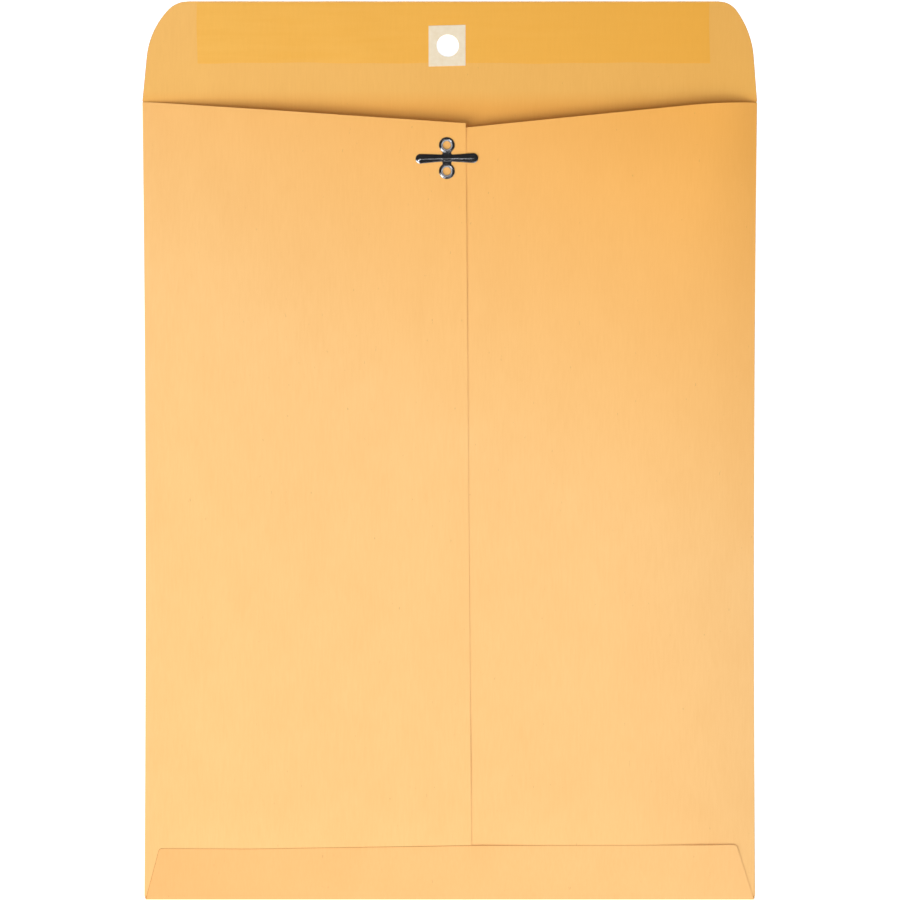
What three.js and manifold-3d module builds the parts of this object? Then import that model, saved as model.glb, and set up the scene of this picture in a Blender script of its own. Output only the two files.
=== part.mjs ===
// A kraft paper clasp envelope, lying on its face with the seal flap open.
//
// Units are millimetres. +X runs across the envelope, +Y from the bottom fold to
// the tip of the seal flap, and +Z up from the table. The origin is the middle of
// the footprint, on the table.
//
// The paper is one folded and glued blank. Each panel of it is its own mesh,
// parted from its neighbour by a hairline at the crease. The pocket stands a few
// millimetres open, as a filled or newly opened envelope does.

import * as THREE from "three";
import { mergeVertices } from "three/addons/utils/BufferGeometryUtils.js";
import Module from "manifold-3d";

// Overall sizes.
const bodyWidth = 254;
const bodyLength = 330.2;
const flapDepth = 41;

// Paper, films and the hairlines between them.
const paper = 0.15;
const layerGap = 0.1;
const glueFilm = 0.06;
const creaseGap = 0.05;
const seatGap = 0.02;

// The pocket: its inner height, and how far in from the folds it gets there.
const pocketHeight = 4.6;
const sideShoulder = 18;
const bottomShoulder = 38;
const sideFoldInnerRadius = 0.1;

// The mouth: how far each back panel's top edge lies below the flap's crease, at
// its fold and at the seam, and how far in from the fold it starts as a curve.
const mouthDropLeftFold = 1.2;
const mouthDropLeftSeam = 9.4;
const mouthCurveLeft = 10;
const mouthDropRightFold = 0.6;
const mouthDropRightSeam = 11;
const mouthCurveRight = 30;

// The centre seam: its line, and how far the right panel reaches under the left.
const seamAtMouth = 6.6;
const seamAtBottom = 9.2;
const seamOverlap = 22;
const seamGlueInset = 2.5;
const layerRamp = 10;
const layerRampClear = 1.5;

// The bottom flap, folded up over the back panels.
const bottomFlapHeight = 21.2;
const bottomFlapEndInset = 0.5;
const bottomFlapCornerInsetLeft = 6.9;
const bottomFlapCornerInsetRight = 8.3;
const bottomFlapCornerRound = 2.6;
const backPanelSetback = 1.4;
const bottomGlueWidth = 12;
const bottomGlueFromFold = 5;
const bottomGlueEndInset = 9;

// The seal flap. Its sides taper in, then turn through large arcs to the corners.
const flapTaperHeight = 18;
const flapTaperInsetLeft = 1.75;
const flapTaperInsetRight = 1.35;
const flapCornerInsetLeft = 14.5;
const flapCornerInsetRight = 11.6;
const flapCornerRound = 4.5;

// The gummed strip and the reinforcing patch round the flap's hole.
const gumFilm = 0.05;
const gumWidth = 25.4;
const gumEdgeMargin = 0.5;
const gumLeftInset = 22.6;
const gumRightInset = 19.6;
const patchWidth = 15.4;
const patchLength = 17.2;
const patchThickness = 0.18;
const holeDiameter = 9.3;
const holeFromCrease = 22.6;

// The clasp, stamped from one sheet: a waist, two ears with drawn barrels, two prongs.
const claspOffset = -1.2;
const claspFromCrease = 24.1;
const metal = 0.3;
const earRadius = 3.25;
const earBead = 0.21;
const barrelMidRadius = 1.8;
const barrelHoleClearance = 0.15;
const clinchFlange = 0.8;
const clinchInnerRadius = 0.05;
const clinchHollowDepth = 0.32;
const clinchHollowRadius = 3.2;
const clinchHollowRun = 5;
const glueFromClinch = 1.2;
const waistWidth = 4.2;
const neckWidth = 3.5;
const neckLength = 0.65;
const prongReach = 12.9;
const prongRootWidth = 2.9;
const prongEndWidth = 4;
const prongCrown = 0.6;
const prongFlatRoot = 0.6;
const prongCrownRun = 2.6;

// Places that follow from the sizes.
const bottomY = -(bodyLength + flapDepth) / 2;
const creaseY = bottomY + bodyLength;
const sideFoldOuterRadius = sideFoldInnerRadius + paper;
const foldGap = 2 * sideFoldInnerRadius;
const panelHalfWidth = bodyWidth / 2 - sideFoldOuterRadius;
const pocketRise = pocketHeight - foldGap;
const layerStep = paper + layerGap;
const stackTop = 2 * paper + pocketHeight + layerStep;
const claspY = creaseY - claspFromCrease;
const claspZ = stackTop + seatGap;
const earOffset = prongRootWidth / 2 + neckLength + earRadius;
const beadRadius = (barrelMidRadius + earRadius) / 2;
const bottomBendReach = (foldGap + 2 * layerStep + 2 * paper) / 2;
const clinchHollowReach = clinchHollowRadius + clinchHollowRun;
const prongLength = prongReach - waistWidth / 2;

// Colours, from a real kraft envelope.
const kraft = new THREE.Color("#f7bd70");
const kraftInside = new THREE.Color("#eeb362");
const gumColour = new THREE.Color("#eeae48");
const patchColour = new THREE.Color("#e3d3a6");
const glueColour = new THREE.Color("#efe3c4");
const plated = new THREE.Color("#3c3d42");

const wasm = await Module();
wasm.setup();

const clamp01 = (t) => Math.min(1, Math.max(0, t));
const lerp = (a, b, t) => a + (b - a) * t;

// Rises from 0 with a finite slope, as paper leaves a crease, and levels off at 1.
const shoulder = (t) => 1 - (1 - clamp01(t)) ** 2;

// A list of n + 1 numbers from a to b.
const steps = (a, b, n) => Array.from({ length: n + 1 }, (_, i) => lerp(a, b, i / n));

// The centre seam's x at height y: the left panel's free edge.
const seamX = (y) =>
  lerp(seamAtBottom, seamAtMouth, (y - bottomY) / (creaseY - mouthDropLeftSeam - bottomY));

// The right panel's hidden edge, under the left panel.
const tabX = (y) => seamX(y) - seamOverlap;

// How far the back wall's underside stands above the front panel's inside.
function backHeight(x, y) {
  const fromSide = panelHalfWidth - Math.abs(x);
  const fromBottom = y - bottomY - backPanelSetback;
  return foldGap + pocketRise * shoulder(fromSide / sideShoulder)
    * shoulder(fromBottom / bottomShoulder);
}

// The extra height of whatever lies on top of the right panel's tab.
function layerHeight(x, y) {
  const up = clamp01((x - (tabX(y) - layerRampClear - layerRamp)) / layerRamp);
  const down = clamp01((x - (seamX(y) + layerRampClear)) / layerRamp);
  return layerStep * (up - down);
}

// How deep the right panel's tab is pressed in under the clasp. The clasp's barrels
// go through the left panel alone, and this hollow takes their clinched ends.
function clinchHollow(x, y) {
  const past = Math.max(0, Math.abs(y - claspY) - earOffset);
  const t = clamp01((Math.hypot(x - claspOffset, past) - clinchHollowRadius) / clinchHollowRun);
  return clinchHollowDepth * (1 - t * t * (3 - 2 * t));
}

// How far a panel's top edge lies below the crease, at a distance from its side
// fold: a short curve, then a straight line that reaches the seam at seamFromFold.
function mouthDrop(fromFold, seamFromFold, mouth) {
  const eased = (s) => (s < mouth.curve ? (s * s) / (2 * mouth.curve) : s - mouth.curve / 2);
  return lerp(mouth.dropAtFold, mouth.dropAtSeam, eased(fromFold) / eased(seamFromFold));
}

// A closed sheet of even thickness whose middle surface passes through a grid of
// points, grid[i][j].
function sheet(grid, thickness) {
  const rows = grid.length;
  const columns = grid[0].length;
  const at = (i, j) => grid[Math.min(rows - 1, Math.max(0, i))][Math.min(columns - 1, Math.max(0, j))];
  const positions = [];
  for (const side of [0.5, -0.5]) {
    for (let i = 0; i < rows; i++) {
      for (let j = 0; j < columns; j++) {
        const along = new THREE.Vector3().subVectors(at(i + 1, j), at(i - 1, j));
        const across = new THREE.Vector3().subVectors(at(i, j + 1), at(i, j - 1));
        const normal = along.cross(across).normalize();
        const point = normal.multiplyScalar(side * thickness).add(at(i, j));
        positions.push(point.x, point.y, point.z);
      }
    }
  }
  const under = rows * columns;
  const index = [];
  const quad = (a, b, c, d) => index.push(a, b, c, a, c, d);
  for (let i = 0; i < rows - 1; i++) {
    for (let j = 0; j < columns - 1; j++) {
      const a = i * columns + j;
      const b = a + columns;
      quad(a, b, b + 1, a + 1);
      quad(under + a, under + a + 1, under + b + 1, under + b);
    }
  }
  const rim = [];
  for (let i = 0; i < rows - 1; i++) rim.push(i * columns);
  for (let j = 0; j < columns - 1; j++) rim.push((rows - 1) * columns + j);
  for (let i = rows - 1; i > 0; i--) rim.push(i * columns + columns - 1);
  for (let j = columns - 1; j > 0; j--) rim.push(j);
  rim.forEach((a, k) => {
    const b = rim[(k + 1) % rim.length];
    quad(a, under + a, under + b, b);
  });
  const geometry = new THREE.BufferGeometry();
  geometry.setAttribute("position", new THREE.Float32BufferAttribute(positions, 3));
  geometry.setIndex(index);
  return geometry;
}

// A geometry as a solid that can be joined and cut.
function solid(geometry) {
  const bare = geometry.clone();
  bare.deleteAttribute("normal");
  bare.deleteAttribute("uv");
  const merged = mergeVertices(bare, 1e-4);
  const mesh = new wasm.Mesh({
    numProp: 3,
    vertProperties: new Float32Array(merged.attributes.position.array),
    triVerts: new Uint32Array(merged.index.array),
  });
  return new wasm.Manifold(mesh);
}

// The solid's surface as a geometry for a mesh.
function surface(body) {
  const { vertProperties, triVerts } = body.getMesh();
  const geometry = new THREE.BufferGeometry();
  geometry.setAttribute("position", new THREE.BufferAttribute(vertProperties, 3));
  geometry.setIndex(new THREE.BufferAttribute(triVerts, 1));
  geometry.computeVertexNormals();
  return geometry;
}

// A plate cut to an outline, standing on z = 0.
function plate(shape, thickness, curveSegments = 12) {
  return new THREE.ExtrudeGeometry(shape, { depth: thickness, bevelEnabled: false, curveSegments });
}

// A round cutter along Z through the point (x, y), from z = low to z = high.
function roundCutter(x, y, radius, low, high) {
  const geometry = new THREE.CylinderGeometry(radius, radius, high - low, 28);
  return solid(geometry.rotateX(Math.PI / 2).translate(x, y, (low + high) / 2));
}

// Cuts the two holes for the clasp's barrels.
function pierceForClasp(geometry) {
  const radius = barrelMidRadius + metal / 2 + barrelHoleClearance;
  let body = solid(geometry);
  for (const side of [-1, 1]) {
    const y = claspY + side * earOffset;
    body = body.subtract(roundCutter(claspOffset, y, radius, pocketHeight / 2, 2 * stackTop));
  }
  return surface(body);
}

function mesh(name, geometry, color, roughness = 0.85, metalness = 0) {
  const material = new THREE.MeshStandardMaterial({ color, roughness, metalness });
  const made = new THREE.Mesh(geometry, material);
  made.name = name;
  return made;
}

// The large sheet that carries the address. It lies on the table.
function frontPanel() {
  const halfWidth = panelHalfWidth - creaseGap / 2;
  const low = bottomY + bottomBendReach + creaseGap / 2;
  const high = creaseY - creaseGap / 2;
  const shape = new THREE.Shape();
  shape.moveTo(-halfWidth, low);
  shape.lineTo(halfWidth, low);
  shape.lineTo(halfWidth, high);
  shape.lineTo(-halfWidth, high);
  return plate(shape, paper);
}

// A back panel with its side fold. side is -1 for the left panel and 1 for the
// right one; edgeX(y) is its free edge, and lift(x, y) its height above the
// right panel's level.
function backPanel(side, edgeX, mouth, lift) {
  const middleRadius = sideFoldInnerRadius + paper / 2;
  const seamFromFold = panelHalfWidth - side * seamAtMouth;
  const low = bottomY + backPanelSetback;
  const levelFrom = low + bottomShoulder;
  const nearMouth = creaseY - mouth.dropAtSeam;
  const hollowFrom = claspY - earOffset - clinchHollowReach;
  const rows = [
    ...steps(low, levelFrom, 12),
    ...steps(levelFrom, hollowFrom, 5).slice(1),
    ...steps(hollowFrom, nearMouth, side < 0 ? 1 : 16).slice(1),
  ];

  // Each column's distance in from the side fold at the row's nominal height.
  const columns = (y) => {
    const curved = steps(sideShoulder, sideShoulder + mouth.curve, 3).slice(1);
    const toEdge = panelHalfWidth - side * edgeX(y);
    const toRamp = panelHalfWidth + tabX(y) - layerRampClear - layerRamp;
    const toHollow = panelHalfWidth - claspOffset - clinchHollowReach;
    const inner = side < 0
      ? steps(toRamp, toRamp + layerRamp, 3)
      : [
        ...steps(curved.at(-1), toHollow, 3).slice(1),
        ...steps(toHollow, toHollow + 2 * clinchHollowReach, 12).slice(1),
      ];
    return [...steps(0, sideShoulder, 8), ...curved, ...inner, toEdge];
  };

  const grid = [];
  const bend = steps(-Math.PI / 2, Math.PI / 2, 8).slice(0, -1);
  rows.forEach((nominal) => {
    const share = clamp01((nominal - levelFrom) / (nearMouth - levelFrom));
    const rowY = (fromFold) => {
      const top = creaseY - mouthDrop(fromFold, seamFromFold, mouth);
      return nominal <= levelFrom ? nominal : lerp(levelFrom, top, share);
    };
    const row = bend.map((angle) => new THREE.Vector3(
      side * (panelHalfWidth + middleRadius * Math.cos(angle)),
      rowY(0),
      sideFoldOuterRadius + middleRadius * Math.sin(angle),
    ));
    columns(nominal).forEach((fromFold) => {
      const x = side * (panelHalfWidth - fromFold);
      const y = rowY(fromFold);
      const under = paper + backHeight(x, y) + lift(x, y);
      row.push(new THREE.Vector3(x, y, under + paper / 2));
    });
    grid.push(side < 0 ? row : row.reverse());
  });
  return sheet(grid.reverse(), paper);
}

function leftBackPanel() {
  const mouth = { dropAtFold: mouthDropLeftFold, dropAtSeam: mouthDropLeftSeam, curve: mouthCurveLeft };
  return pierceForClasp(backPanel(-1, seamX, mouth, layerHeight));
}

function rightBackPanel() {
  const mouth = { dropAtFold: mouthDropRightFold, dropAtSeam: mouthDropRightSeam, curve: mouthCurveRight };
  return backPanel(1, tabX, mouth, (x, y) => -clinchHollow(x, y));
}

// Keeps the glue clear of the clasp's clinched barrels.
function clearOfClinch(geometry) {
  const reach = clinchHollowRadius + glueFromClinch;
  const low = claspY - earOffset - reach;
  const notch = new THREE.BoxGeometry(seamOverlap, creaseY - low, pocketHeight);
  notch.translate(claspOffset - reach + seamOverlap / 2, (low + creaseY) / 2, stackTop);
  return surface(solid(geometry).subtract(solid(notch)));
}

// The dried glue between the two back panels.
function seamGlue() {
  const low = bottomY + backPanelSetback + seamGlueInset;
  const levelFrom = bottomY + backPanelSetback + bottomShoulder;
  const high = creaseY - mouthDropRightSeam - seamGlueInset;
  const rows = [...steps(low, levelFrom, 12), ...steps(levelFrom, high, 4).slice(1)];
  const grid = rows.map((y) =>
    steps(tabX(y) + seamGlueInset, seamX(y) - seamGlueInset, 4).map((x) =>
      new THREE.Vector3(x, y, 2 * paper + backHeight(x, y) + layerGap / 2)));
  return clearOfClinch(sheet(grid.reverse(), glueFilm));
}

// The underside of what is folded over the back panels, at the bottom.
const bottomFlapUnder = (x, y) =>
  2 * paper + backHeight(x, y) + layerHeight(x, y) + layerGap;

// The distance from the middle to the bottom flap's slanted end, on one side, less
// what its rounded corner takes off.
function bottomFlapReach(side, fromFold) {
  const cornerInset = side < 0 ? bottomFlapCornerInsetLeft : bottomFlapCornerInsetRight;
  const slant = lerp(bottomFlapEndInset, cornerInset, clamp01(fromFold / bottomFlapHeight));
  const intoCorner = clamp01(1 - (bottomFlapHeight - fromFold) / bottomFlapCornerRound);
  return bodyWidth / 2 - slant - bottomFlapCornerRound * (1 - Math.sqrt(1 - intoCorner ** 2));
}

// The x of each column of a sheet that spans both shoulders and the seam.
function spanningColumns(leftReach, rightReach, y) {
  const shoulderSteps = steps(0, sideShoulder, 8);
  return [
    ...shoulderSteps.map((s) => s - leftReach),
    ...steps(tabX(y) - layerRampClear - layerRamp, tabX(y) - layerRampClear, 2),
    ...steps(seamX(y) + layerRampClear, seamX(y) + layerRampClear + layerRamp, 2),
    ...shoulderSteps.map((s) => rightReach - s).reverse(),
  ];
}

// The bottom flap, with the fold that joins it to the front panel.
function bottomFlap() {
  const foldY = bottomY + bottomBendReach;
  const grid = [];
  for (const angle of steps(-Math.PI / 2, Math.PI / 2, 8).slice(0, -1)) {
    const row = spanningColumns(bottomFlapReach(-1, 0), bottomFlapReach(1, 0), foldY).map((x) => {
      const low = paper / 2;
      const high = bottomFlapUnder(x, foldY) + paper / 2;
      const y = foldY - (bottomBendReach - paper / 2) * Math.cos(angle);
      return new THREE.Vector3(x, y, lerp(low, high, (1 + Math.sin(angle)) / 2));
    });
    grid.push(row.reverse());
  }
  const cornerFrom = bottomY + bottomFlapHeight - bottomFlapCornerRound;
  const corner = steps(0, Math.PI / 2, 5).slice(1)
    .map((angle) => cornerFrom + bottomFlapCornerRound * Math.sin(angle));
  for (const y of [...steps(foldY, cornerFrom, 8), ...corner]) {
    const reach = (side) => bottomFlapReach(side, y - bottomY);
    const columns = spanningColumns(reach(-1), reach(1), y);
    const row = columns.map((x) => new THREE.Vector3(x, y, bottomFlapUnder(x, y) + paper / 2));
    grid.push(row.reverse());
  }
  return sheet(grid, paper);
}

// The dried glue under the bottom flap.
function bottomGlue() {
  const low = bottomY + bottomGlueFromFold;
  const grid = steps(low, low + bottomGlueWidth, 6).map((y) => {
    const reach = (side) => bottomFlapReach(side, y - bottomY) - bottomGlueEndInset;
    return spanningColumns(reach(-1), reach(1), y)
      .map((x) => new THREE.Vector3(x, y, bottomFlapUnder(x, y) - layerGap / 2))
      .reverse();
  });
  return sheet(grid, glueFilm);
}

// The round hole that the prongs go through, as a path for a shape with its
// y measured from the crease.
function flapHole() {
  const path = new THREE.Path();
  path.absarc(claspOffset, holeFromCrease, holeDiameter / 2, 0, 2 * Math.PI, true);
  return path;
}

// One side of the flap, seen as the right one: the arc that carries on from the
// tapered side, and the corner that it would reach if it weren't rounded off.
function flapSide(taperInset, cornerInset) {
  const start = new THREE.Vector2(bodyWidth / 2 - taperInset, flapTaperHeight);
  const corner = new THREE.Vector2(bodyWidth / 2 - cornerInset, flapDepth);
  const chord = new THREE.Vector2().subVectors(corner, start);
  const from = Math.atan2(taperInset, flapTaperHeight);
  const turn = 2 * (Math.atan2(-chord.x, chord.y) - from);
  const radius = chord.length() / (2 * Math.sin(turn / 2));
  const to = from + turn - flapCornerRound / radius;
  const x = start.x - radius * Math.cos(from);
  const y = start.y - radius * Math.sin(from);
  const last = new THREE.Vector2(x + radius * Math.cos(to), y + radius * Math.sin(to));
  return { x, y, radius, from, to, last, corner };
}

// The seal flap: sides that taper in, large corner arcs and a straight tip.
function sealFlap() {
  const right = flapSide(flapTaperInsetRight, flapCornerInsetRight);
  const left = flapSide(flapTaperInsetLeft, flapCornerInsetLeft);
  const shape = new THREE.Shape();
  shape.moveTo(-bodyWidth / 2, creaseGap / 2);
  shape.lineTo(bodyWidth / 2, creaseGap / 2);
  shape.absarc(right.x, right.y, right.radius, right.from, right.to, false);
  shape.quadraticCurveTo(right.corner.x, right.corner.y, right.corner.x - flapCornerRound, flapDepth);
  shape.lineTo(flapCornerRound - left.corner.x, flapDepth);
  shape.quadraticCurveTo(-left.corner.x, left.corner.y, -left.last.x, left.last.y);
  shape.absarc(-left.x, left.y, left.radius, Math.PI - left.to, Math.PI - left.from, false);
  shape.holes.push(flapHole());
  return plate(shape, paper, 18).translate(0, creaseY, 0);
}

// The band of dried gum along the flap's tip, notched round the patch.
function gumStrip() {
  const left = gumLeftInset - bodyWidth / 2;
  const right = bodyWidth / 2 - gumRightInset;
  const high = flapDepth - gumEdgeMargin;
  const low = high - gumWidth;
  const notchHalf = patchWidth / 2 + seatGap;
  const notchTop = holeFromCrease + patchLength / 2 + seatGap;
  const shape = new THREE.Shape();
  shape.moveTo(left, low);
  shape.lineTo(claspOffset - notchHalf, low);
  shape.lineTo(claspOffset - notchHalf, notchTop);
  shape.lineTo(claspOffset + notchHalf, notchTop);
  shape.lineTo(claspOffset + notchHalf, low);
  shape.lineTo(right, low);
  shape.lineTo(right, high);
  shape.lineTo(left, high);
  return plate(shape, gumFilm).translate(0, creaseY, paper + seatGap);
}

// The stiff patch that keeps the hole from tearing.
function holePatch() {
  const shape = new THREE.Shape();
  const halfWidth = patchWidth / 2;
  const low = holeFromCrease - patchLength / 2;
  shape.moveTo(claspOffset - halfWidth, low);
  shape.lineTo(claspOffset + halfWidth, low);
  shape.lineTo(claspOffset + halfWidth, low + patchLength);
  shape.lineTo(claspOffset - halfWidth, low + patchLength);
  shape.holes.push(flapHole());
  return plate(shape, patchThickness, 18).translate(0, creaseY, paper + seatGap);
}

// The middle line of an ear's sheet, from its rim over the bead, down the drawn
// barrel and out along the clinched end under the left panel. x is the radius.
function earMiddleLine() {
  const line = new THREE.Path();
  const rimZ = metal / 2;
  const beadZ = rimZ + earBead;
  const clinchZ = -paper - 2 * seatGap - metal / 2;
  const bend = clinchInnerRadius + metal / 2;
  const barrelEndZ = clinchZ + bend;
  line.moveTo(earRadius, rimZ);
  line.bezierCurveTo(lerp(earRadius, beadRadius, 0.5), rimZ,
    lerp(earRadius, beadRadius, 0.5), beadZ, beadRadius, beadZ);
  line.bezierCurveTo(lerp(beadRadius, barrelMidRadius, 0.6), beadZ,
    barrelMidRadius, beadZ / 2, barrelMidRadius, barrelEndZ);
  line.absarc(barrelMidRadius + bend, barrelEndZ, bend, Math.PI, 1.5 * Math.PI, false);
  line.lineTo(barrelMidRadius + bend + clinchFlange, clinchZ);
  return line.getPoints(4);
}

// A closed profile of even thickness round a middle line.
function thickened(points, thickness) {
  const offset = (side) => points.map((point, i) => {
    const next = points[Math.min(points.length - 1, i + 1)];
    const last = points[Math.max(0, i - 1)];
    const along = new THREE.Vector2().subVectors(next, last).normalize();
    return new THREE.Vector2(-along.y, along.x).multiplyScalar((side * thickness) / 2).add(point);
  });
  const outer = offset(-1);
  const closed = [...outer, ...offset(1).reverse()];
  return [...closed, outer[0].clone()];
}

// One ear, revolved round its own axis, which stands on the origin.
function ear() {
  const middle = earMiddleLine().filter((p, i, all) => i === 0 || p.distanceTo(all[i - 1]) > 1e-6);
  const geometry = new THREE.LatheGeometry(thickened(middle, metal), 28);
  return solid(geometry.rotateX(Math.PI / 2));
}

// The waist that carries the prongs' bends, with the necks that join the ears.
function waist() {
  const half = waistWidth / 2;
  const root = prongRootWidth / 2;
  const join = earRadius * Math.SQRT1_2;
  const joinY = earOffset - join;
  const pull = neckWidth - (half + join) / 2;
  const shape = new THREE.Shape();
  shape.moveTo(half, -root);
  shape.lineTo(half, root);
  shape.quadraticCurveTo(pull, (root + joinY) / 2, join, joinY);
  shape.lineTo(-join, joinY);
  shape.quadraticCurveTo(-pull, (root + joinY) / 2, -half, root);
  shape.lineTo(-half, -root);
  shape.quadraticCurveTo(-pull, -(root + joinY) / 2, -join, -joinY);
  shape.lineTo(join, -joinY);
  shape.quadraticCurveTo(pull, -(root + joinY) / 2, half, -root);
  return solid(plate(shape, metal, 6));
}

// The clasp's fixed part: waist and ears in one piece.
function claspBase() {
  let body = waist();
  for (const y of [-earOffset, earOffset]) {
    const insideTheEar = roundCutter(0, y, (earRadius + beadRadius) / 2, -metal, 2 * metal);
    body = body.subtract(insideTheEar).add(ear().translate([0, y, 0]));
  }
  return surface(body.translate([claspOffset, claspY, claspZ]));
}

// A prong's half width and crown, at a distance from its bend.
function prongSection(along) {
  const tipRadius = prongEndWidth / 2;
  const tipFrom = prongLength - tipRadius;
  const intoTip = Math.max(0, along - tipFrom) / tipRadius;
  const round = Math.sqrt(Math.max(0, 1 - intoTip ** 2));
  const widened = clamp01((along - prongFlatRoot) / (tipFrom - prongFlatRoot));
  const straight = lerp(prongRootWidth, prongEndWidth, widened);
  const rise = clamp01((along - prongFlatRoot) / prongCrownRun);
  return {
    halfWidth: (straight / 2) * round,
    crown: prongCrown * rise * rise * (3 - 2 * rise) * round,
  };
}

// A prong, reaching along +X from its bend, which stands on the origin. It is a
// crowned strip of sheet, flat where it bends and round at its tip.
function prong() {
  const tipRadius = prongEndWidth / 2;
  const tipFrom = prongLength - tipRadius;
  const rise = steps(prongFlatRoot, prongFlatRoot + prongCrownRun, 5);
  const round = steps(0, 0.46 * Math.PI, 6).map((angle) => tipFrom + tipRadius * Math.sin(angle));
  const stations = [creaseGap, ...rise, (rise.at(-1) + tipFrom) / 2, ...round];
  const grid = stations.map((along) => {
    const { halfWidth, crown } = prongSection(along);
    return steps(-1, 1, 10).map((across) =>
      new THREE.Vector3(along, across * halfWidth, metal / 2 + crown * (1 - across ** 2)));
  });
  return sheet(grid, metal);
}

// A group that stands on a prong's bend line and faces the way it points.
function prongGroup(name, side) {
  const group = new THREE.Group();
  group.position.set(claspOffset + (side * waistWidth) / 2, claspY, claspZ);
  group.rotation.z = side < 0 ? Math.PI : 0;
  group.add(mesh(name, prong(), plated, 0.25, 1));
  return group;
}

const envelope = new THREE.Group();
envelope.name = "clasp_envelope";
envelope.add(
  mesh("front_panel", frontPanel(), kraft),
  mesh("left_back_panel", leftBackPanel(), kraft),
  mesh("right_back_panel", rightBackPanel(), kraft),
  mesh("bottom_flap", bottomFlap(), kraft),
  mesh("centre_seam_glue", seamGlue(), glueColour, 0.6),
  mesh("bottom_seam_glue", bottomGlue(), glueColour, 0.6),
  mesh("seal_flap", sealFlap(), kraftInside),
  mesh("gum_strip", gumStrip(), gumColour, 0.5),
  mesh("hole_patch", holePatch(), patchColour, 0.8),
  mesh("clasp_base", claspBase(), plated, 0.25, 1),
  prongGroup("left_prong", -1),
  prongGroup("right_prong", 1),
);

export default envelope;
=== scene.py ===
# %% [markdown]
# A kraft paper clasp envelope, lying on its face with the seal flap open.
#
# The real one is a single sheet of brown kraft, cut, folded and glued, with one
# stamped metal clasp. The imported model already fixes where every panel, crease
# and bend lies, so this lesson starts from those boxes and makes the surfaces:
# soft paper, dried gum, a stiff patch and tinned steel.

# %% Load the model
import math

import bmesh
import bpy
import numpy as np
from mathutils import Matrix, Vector


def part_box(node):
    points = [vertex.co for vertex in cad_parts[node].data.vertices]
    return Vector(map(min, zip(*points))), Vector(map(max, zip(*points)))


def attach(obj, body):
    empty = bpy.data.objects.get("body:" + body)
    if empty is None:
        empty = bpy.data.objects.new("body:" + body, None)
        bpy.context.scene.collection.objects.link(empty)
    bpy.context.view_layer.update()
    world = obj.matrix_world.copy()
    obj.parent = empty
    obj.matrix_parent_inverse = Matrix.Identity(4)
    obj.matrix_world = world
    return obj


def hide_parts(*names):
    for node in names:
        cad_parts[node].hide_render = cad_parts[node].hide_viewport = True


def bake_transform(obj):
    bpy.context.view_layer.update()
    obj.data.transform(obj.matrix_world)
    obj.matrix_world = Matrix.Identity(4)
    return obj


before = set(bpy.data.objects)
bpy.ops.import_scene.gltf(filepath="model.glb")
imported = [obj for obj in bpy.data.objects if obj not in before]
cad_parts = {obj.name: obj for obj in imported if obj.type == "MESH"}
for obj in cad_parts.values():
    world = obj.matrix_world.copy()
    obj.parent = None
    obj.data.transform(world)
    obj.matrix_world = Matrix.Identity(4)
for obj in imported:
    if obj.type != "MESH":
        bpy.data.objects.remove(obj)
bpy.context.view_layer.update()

MM = 0.001

# %% [markdown]
# Every length below comes from the model's boxes, or is a size of the real sheet
# in millimetres. The back panels' boxes give the folds, the seal flap's box gives
# the crease and the tip, and the clasp's box gives the place where it sits.

# %% Read the places
PAPER = 0.15 * MM
LAYER_GAP = 0.1 * MM
FOLD_INNER_RADIUS = 0.1 * MM
LAYER_STEP = PAPER + LAYER_GAP

left_low, left_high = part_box("left_back_panel")
_, right_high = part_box("right_back_panel")
flap_low, flap_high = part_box("seal_flap")
front_low, front_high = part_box("front_panel")
bottom_low, bottom_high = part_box("bottom_flap")
clasp_low, clasp_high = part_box("clasp_base")
prong_low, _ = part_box("right_prong")
gum_low, gum_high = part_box("gum_strip")
patch_low, patch_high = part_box("hole_patch")

HALF_WIDTH = -left_low.x
FOLD_RADIUS = FOLD_INNER_RADIUS + PAPER
PANEL_HALF = HALF_WIDTH - FOLD_RADIUS
CREASE_Y = (front_high.y + flap_low.y) / 2
TIP_Y = flap_high.y
BOTTOM_Y = bottom_low.y
BACK_LOW_Y = left_low.y
FOLD_GAP = 2 * FOLD_INNER_RADIUS
POCKET_RISE = right_high.z - 2 * PAPER - FOLD_GAP
CLASP = Vector(((clasp_low.x + clasp_high.x) / 2, (clasp_low.y + clasp_high.y) / 2, left_high.z))
HOLE = Vector(((patch_low.x + patch_high.x) / 2, (patch_low.y + patch_high.y) / 2, 0))
print("crease at y =", round(CREASE_Y / MM, 2), "mm; pocket rise", round(POCKET_RISE / MM, 2), "mm")

# %% [markdown]
# The plan of the folded sheet. The mouth runs down from each fold to the seam in a
# short curve and then a straight line. The seam leans a little, as it is glued at
# speed. The sides pull in between the ends, because the open pocket takes up width.

# %% Set out the folded sheet
SEAM_AT_MOUTH = 6.6 * MM
SEAM_AT_BOTTOM = 9.2 * MM
SEAM_OVERLAP = 22 * MM
LAYER_RAMP = 10 * MM
LAYER_RAMP_CLEAR = 1.5 * MM
LEFT_MOUTH = {"fold": 0.7 * MM, "seam": 9.7 * MM, "curve": 4 * MM}
RIGHT_MOUTH = {"fold": 0.9 * MM, "seam": 11.45 * MM, "curve": 30 * MM}
SIDE_PULL = 1.3 * MM
SIDE_PULL_AT = 0.62


def lerp(a, b, t):
    return a + (b - a) * t


def smooth(t):
    t = np.clip(t, 0, 1)
    return t * t * (3 - 2 * t)


def seam_x(y):
    """The left panel's free edge."""
    length = CREASE_Y - LEFT_MOUTH["seam"] - BOTTOM_Y
    return lerp(SEAM_AT_BOTTOM, SEAM_AT_MOUTH, (y - BOTTOM_Y) / length)


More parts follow.
